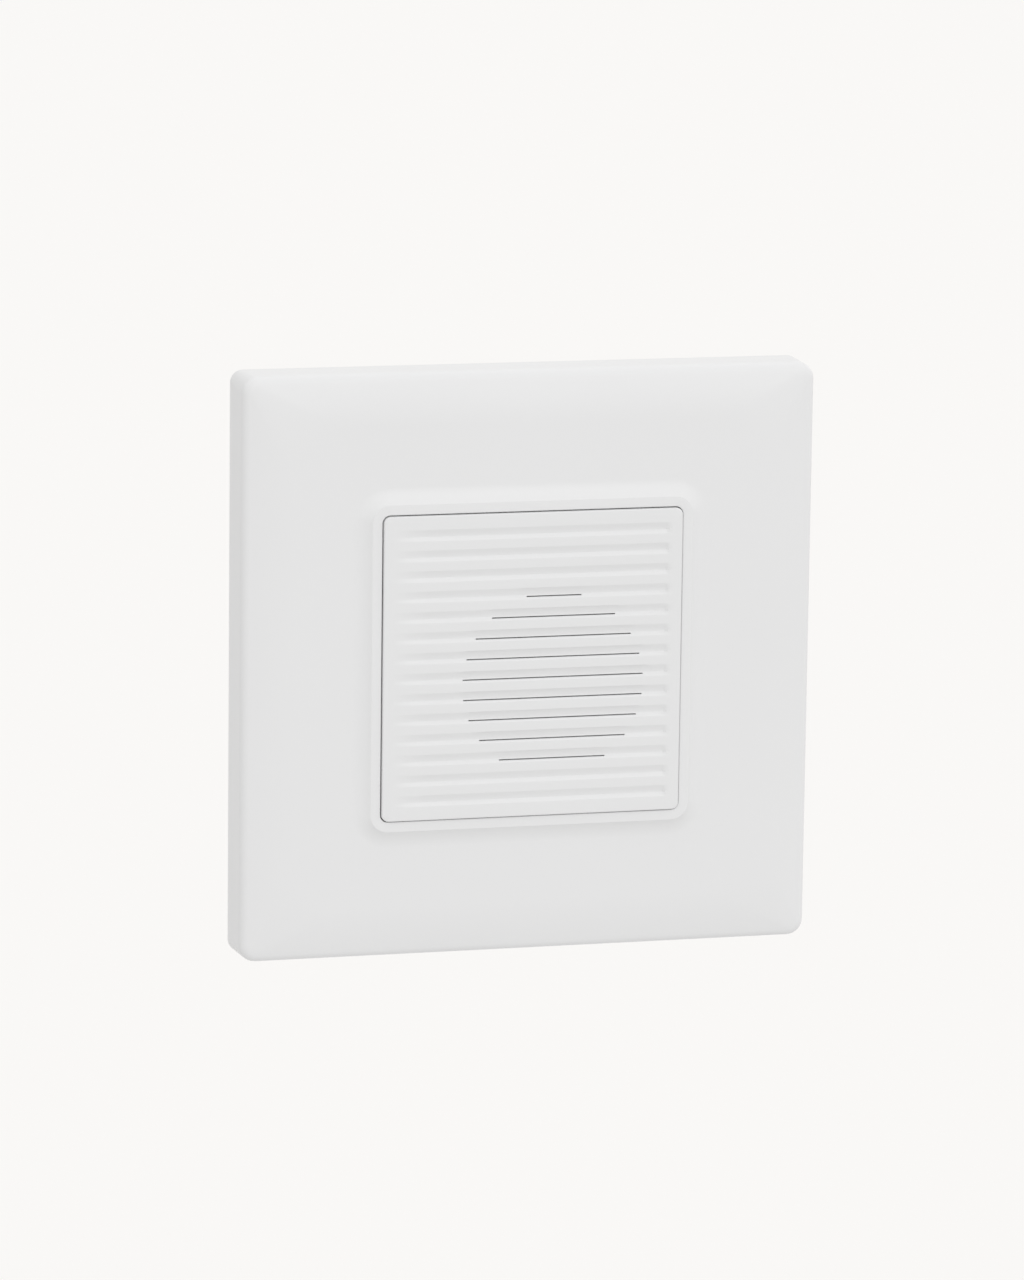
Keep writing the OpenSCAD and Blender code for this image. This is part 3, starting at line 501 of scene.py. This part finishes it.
def add_walls(form, outlines):
    """Draws the outline of a rounded square on through a row of half widths, corner radii and heights."""
    half, corner, height = outlines[0]
    corners = bmesh.ops.create_grid(form, x_segments=1, y_segments=1, size=half)["verts"]
    bmesh.ops.translate(form, verts=corners, vec=(0, 0, height))
    rounded = bmesh.ops.bevel(
        form, geom=corners, offset=corner, segments=corner_steps, profile=0.5, affect="VERTICES",
        material=-1,
    )
    square = rounded["verts"][0].link_faces[0]
    first = last = list(square.edges)
    bmesh.ops.delete(form, geom=[square], context="FACES_ONLY")
    for next_half, next_corner, next_height in outlines[1:]:
        drawn = bmesh.ops.extrude_edge_only(form, edges=last)["geom"]
        last = [item for item in drawn if isinstance(item, bmesh.types.BMEdge)]
        for vert in [item for item in drawn if isinstance(item, bmesh.types.BMVert)]:
            for axis in (0, 1):
                in_corner = (abs(vert.co[axis]) - half + corner) / corner
                out = next_half - next_corner + in_corner * next_corner
                vert.co[axis] = math.copysign(out, vert.co[axis])
            vert.co.z = next_height
        half, corner = next_half, next_corner
    return first, last


slots = []
for middle in groove_middles:
    half = slot_half(middle)
    if half:
        slots.append((sounder_axis[0] - half, sounder_axis[0] + half, middle - slot_drop))

rows = {-field_half, field_half}
for middle in groove_middles:
    rows.update(middle + height for height, depth, steep in groove_outline)
columns = {-field_half, field_half, groove_right - groove_end, groove_right}
columns.update(groove_left + groove_runout * step / runout_steps for step in range(runout_steps + 1))
for left, right, slot_y in slots:
    rows.update((slot_y - slot_height / 2, slot_y + slot_height / 2))
    columns.update((left - slot_fade, left, right, right + slot_fade))
columns = sorted(columns)

grille_form = bmesh.new()
column = [grille_form.verts.new((columns[0], y, face_top)) for y in sorted(rows)]
edges = [grille_form.edges.new(pair) for pair in zip(column, column[1:])]
for x in columns[1:]:
    drawn = bmesh.ops.extrude_edge_only(grille_form, edges=edges)["geom"]
    edges = [item for item in drawn if isinstance(item, bmesh.types.BMEdge)]
    for vert in [item for item in drawn if isinstance(item, bmesh.types.BMVert)]:
        vert.co.x = x
        vert.co.z = face_top - hollow_at(x, vert.co.y)

field_rim = [edge for edge in grille_form.edges if edge.is_boundary]
across_ridges = []
for edge in grille_form.edges:
    height = (edge.verts[0].co.y + edge.verts[1].co.y) / 2
    from_groove = min(abs(height - middle) for middle in groove_middles)
    if from_groove > groove_half + drawing_tolerance and not edge.is_boundary:
        across_ridges.append(edge)
bmesh.ops.dissolve_edges(grille_form, edges=across_ridges)
in_slots = []
for face in grille_form.faces:
    middle = face.calc_center_median()
    for left, right, slot_y in slots:
        if left < middle.x < right and abs(middle.y - slot_y) < slot_height / 2:
            in_slots.append(face)
bmesh.ops.delete(grille_form, geom=in_slots, context="FACES")
slot_rims = [edge for edge in grille_form.edges if edge.is_boundary and edge not in field_rim]
cut = bmesh.ops.extrude_edge_only(grille_form, edges=slot_rims)["geom"]
for vert in [item for item in cut if isinstance(item, bmesh.types.BMVert)]:
    vert.co.z = face_top - face_thick
slot_ends = [item for item in cut if isinstance(item, bmesh.types.BMEdge)]

cap_outlines = []
for step in range(edge_steps + 1):
    turn = math.pi / 2 * step / edge_steps
    out = face_half - face_edge * (1 - math.sin(turn))
    height = face_top - face_edge * (1 - math.cos(turn))
    cap_outlines.append((out, face_corner - face_half + out, height))
cap_outlines.append((face_half, face_corner, skirt_end))
cap_outlines.append((face_half - skirt_wall, skirt_corner, skirt_end))
cap_outlines.append((face_half - skirt_wall, skirt_corner, face_top - face_thick))
face_rim, ceiling_rim = add_walls(grille_form, cap_outlines)
bmesh.ops.triangle_fill(grille_form, edges=field_rim + face_rim, use_beauty=True)
bmesh.ops.triangle_fill(grille_form, edges=slot_ends + ceiling_rim, use_beauty=True)

seat = [grille_form.verts.new((radius, 0, height)) for radius, height in seat_ring]
seat_edges = [grille_form.edges.new(pair) for pair in zip(seat, seat[1:] + seat[:1])]
bmesh.ops.translate(grille_form, verts=seat, vec=(*sounder_axis, 0))
bmesh.ops.spin(
    grille_form, geom=seat + seat_edges, cent=(*sounder_axis, 0), axis=(0, 0, 1), angle=2 * math.pi,
    steps=seat_steps, use_merge=True,
)
bmesh.ops.remove_doubles(grille_form, verts=grille_form.verts, dist=drawing_tolerance)
bmesh.ops.recalc_face_normals(grille_form, faces=grille_form.faces)
bmesh.ops.transform(grille_form, matrix=from_drawing, verts=grille_form.verts)
grille_cap = finished(grille_form, "grille_cap")
grille_plastic = moulded_plastic(
    "white grille plastic", grille_white, darker=0.985, roughness=0.45, grain_depth=0.000004,
)
grille_cap.data.materials.append(grille_plastic)
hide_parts("grille_front")
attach(grille_cap, "base")

# Cover plate: the square frame that hides the support frame, with a raised rim round its window and a
# face that falls away to the edge. White plastic, pressed on by four ratchet prongs, pried off below.
plate_white = (0.811, 0.812, 0.816, 1)
plate_low, plate_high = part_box("cover_plate")
plate_half = plate_high.x / millimetre
plate_corner = 2.4
rear_corner = 1.8
rim_top = -plate_low.y / millimetre
rim_rise = 0.9
plate_wall = 2.0
plate_edge = 1.4
crown_band = 7.5
crown_drop = 1.0
crown_corner = 8.0
window_gap = 0.14
rim_width = 1.45
rim_edge = 0.15
cove_width = 2.5
sleeve_bottom = 5.2
crown_steps = 16
cove_steps = 10
round_steps = 10
notch_half = 4.0
notch_height = 1.2
wall_tolerance = 0.1
rib_place = 16.0
rib_thick = 1.0
rib_height = 1.2
prong_place = (29.5, 24.0)
prong_thick = 1.5
prong_width = 6.0
prong_end = 0.4
tooth_height = 0.25
tooth_pitch = 1.0
tooth_first = 1.1
tooth_count = 3
overlap = 0.5

window_half = face_half + window_gap
window_corner = face_corner + window_gap
flat_half = plate_half - crown_band
crown_radius = (crown_band ** 2 + crown_drop ** 2) / (2 * crown_drop)
crown_tilt = math.asin((crown_band - plate_edge) / (crown_radius - plate_edge))
edge_middle = plate_half - plate_edge
crown_end = edge_middle + plate_edge * math.sin(crown_tilt)
plate_height = rim_top - rim_rise
cove_radius = (cove_width ** 2 + rim_rise ** 2) / (2 * rim_rise)


def crown_height(half):
    """Height of the plate's face at a distance from its middle."""
    return plate_height - crown_radius + math.sqrt(crown_radius ** 2 - max(0, half - flat_half) ** 2)


def round_the_window(out, height):
    """Outline at a distance outside the window's wall."""
    return (window_half + out, window_corner + out, height)


plate_outlines = [round_the_window(0, sleeve_bottom)]
for step in range(edge_steps + 1):
    turn = math.pi / 2 * step / edge_steps
    plate_outlines.append(
        round_the_window(rim_edge * (1 - math.cos(turn)), rim_top - rim_edge * (1 - math.sin(turn)))
    )
plate_outlines.append(round_the_window(rim_width - rim_edge, rim_top))
cove_foot = rim_width + cove_width
for step in range(cove_steps + 1):
    back = cove_width * (1 - step / cove_steps)
    height = plate_height + cove_radius - math.sqrt(cove_radius ** 2 - back ** 2)
    plate_outlines.append(round_the_window(cove_foot - back, height))
for step in range(crown_steps + 1):
    share = step / crown_steps
    half = flat_half + (crown_end - flat_half) * share
    corner = crown_corner + (plate_corner - plate_half + crown_end - crown_corner) * share
    plate_outlines.append((half, corner, crown_height(half)))
shoulder = crown_height(crown_end) - plate_edge * math.cos(crown_tilt)
for step in range(1, round_steps + 1):
    turn = crown_tilt + (math.pi / 2 - crown_tilt) * step / round_steps
    out = plate_edge * math.sin(turn)
    plate_outlines.append(
        (edge_middle + out, plate_corner - plate_edge + out, shoulder + plate_edge * math.cos(turn))
    )
plate_outlines.append((plate_half, rear_corner, 0))
inside_half = plate_half - plate_wall
plate_outlines.append((inside_half, plate_corner - plate_wall, 0))
plate_outlines.append((inside_half, plate_corner - plate_wall, plate_height - plate_wall))
plate_outlines.append(round_the_window(rim_width, plate_height - plate_wall))
plate_outlines.append(round_the_window(rim_width, sleeve_bottom))

plate_form = bmesh.new()
add_walls(plate_form, plate_outlines + plate_outlines[:1])
bmesh.ops.remove_doubles(plate_form, verts=plate_form.verts, dist=drawing_tolerance)


def lower_wall():
    """Faces of the plate's lower side wall, outside, inside and at its rear end."""
    faces = []
    for face in plate_form.faces:
        if max(vert.co.y for vert in face.verts) < -inside_half + wall_tolerance:
            faces.append(face)
    return faces


def parts_of(faces):
    """Faces with their edges and corners, as a cut needs them."""
    return list({part for face in faces for part in (face, *face.edges, *face.verts)})


for cut_side in (-notch_half, notch_half):
    bmesh.ops.bisect_plane(
        plate_form, geom=parts_of(lower_wall()), plane_co=(cut_side, 0, 0), plane_no=(1, 0, 0),
    )
above_notch = [face for face in lower_wall() if abs(face.calc_center_median().x) < notch_half]
bmesh.ops.bisect_plane(
    plate_form, geom=parts_of(above_notch), plane_co=(0, 0, notch_height), plane_no=(0, 0, 1),
)
notch = []
for face in lower_wall():
    middle = face.calc_center_median()
    if abs(middle.x) < notch_half and middle.z < notch_height:
        notch.append(face)
bmesh.ops.delete(plate_form, geom=notch, context="FACES")
along_wall = []
for edge in plate_form.edges:
    if edge.is_boundary and abs(edge.verts[0].co.y - edge.verts[1].co.y) < wall_tolerance:
        along_wall.append(edge)
bmesh.ops.bridge_loops(plate_form, edges=along_wall)

rib_start = window_half + rim_width - overlap
rib_length = inside_half + overlap - rib_start
for quarter in range(4):
    for side in (-rib_place, rib_place):
        rib = bmesh.ops.create_cube(plate_form, size=1)["verts"]
        bmesh.ops.scale(plate_form, verts=rib, vec=(rib_length, rib_thick, rib_height + overlap))
        middle = (rib_start + rib_length / 2, side, plate_height - plate_wall + (overlap - rib_height) / 2)
        bmesh.ops.translate(plate_form, verts=rib, vec=middle)
        turn = Matrix.Rotation(math.radians(90 * quarter), 3, "Z")
        bmesh.ops.rotate(plate_form, verts=rib, cent=(0, 0, 0), matrix=turn)

prong_top = plate_height - plate_wall + overlap
prong_outline = [(-prong_thick / 2, prong_end), (-prong_thick / 2, prong_top), (prong_thick / 2, prong_top)]
for tooth in reversed(range(tooth_count)):
    level = tooth_first + tooth * tooth_pitch
    prong_outline.append((prong_thick / 2, level))
    prong_outline.append((prong_thick / 2 + tooth_height, level))
    prong_outline.append((prong_thick / 2, level - tooth_pitch / 2))
prong_outline.append((prong_thick / 2, prong_end))
for side in (-1, 1):
    for end in (-1, 1):
        low_y = end * prong_place[1] - prong_width / 2
        corners = []
        for out, height in prong_outline:
            corners.append(plate_form.verts.new((side * (prong_place[0] + out), low_y, height)))
        grown = bmesh.ops.extrude_face_region(plate_form, geom=[plate_form.faces.new(corners)])["geom"]
        far_corners = [item for item in grown if isinstance(item, bmesh.types.BMVert)]
        bmesh.ops.translate(plate_form, verts=far_corners, vec=(0, prong_width, 0))

bmesh.ops.recalc_face_normals(plate_form, faces=plate_form.faces)
bmesh.ops.transform(plate_form, matrix=from_drawing, verts=plate_form.verts)
plate_moulding = finished(plate_form, "plate_moulding")
plate_plastic = moulded_plastic(
    "white plate plastic", plate_white, darker=0.985, roughness=0.42, grain_depth=0.000003,
)
plate_moulding.data.materials.append(plate_plastic)
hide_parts("cover_plate")
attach(plate_moulding, "plate")
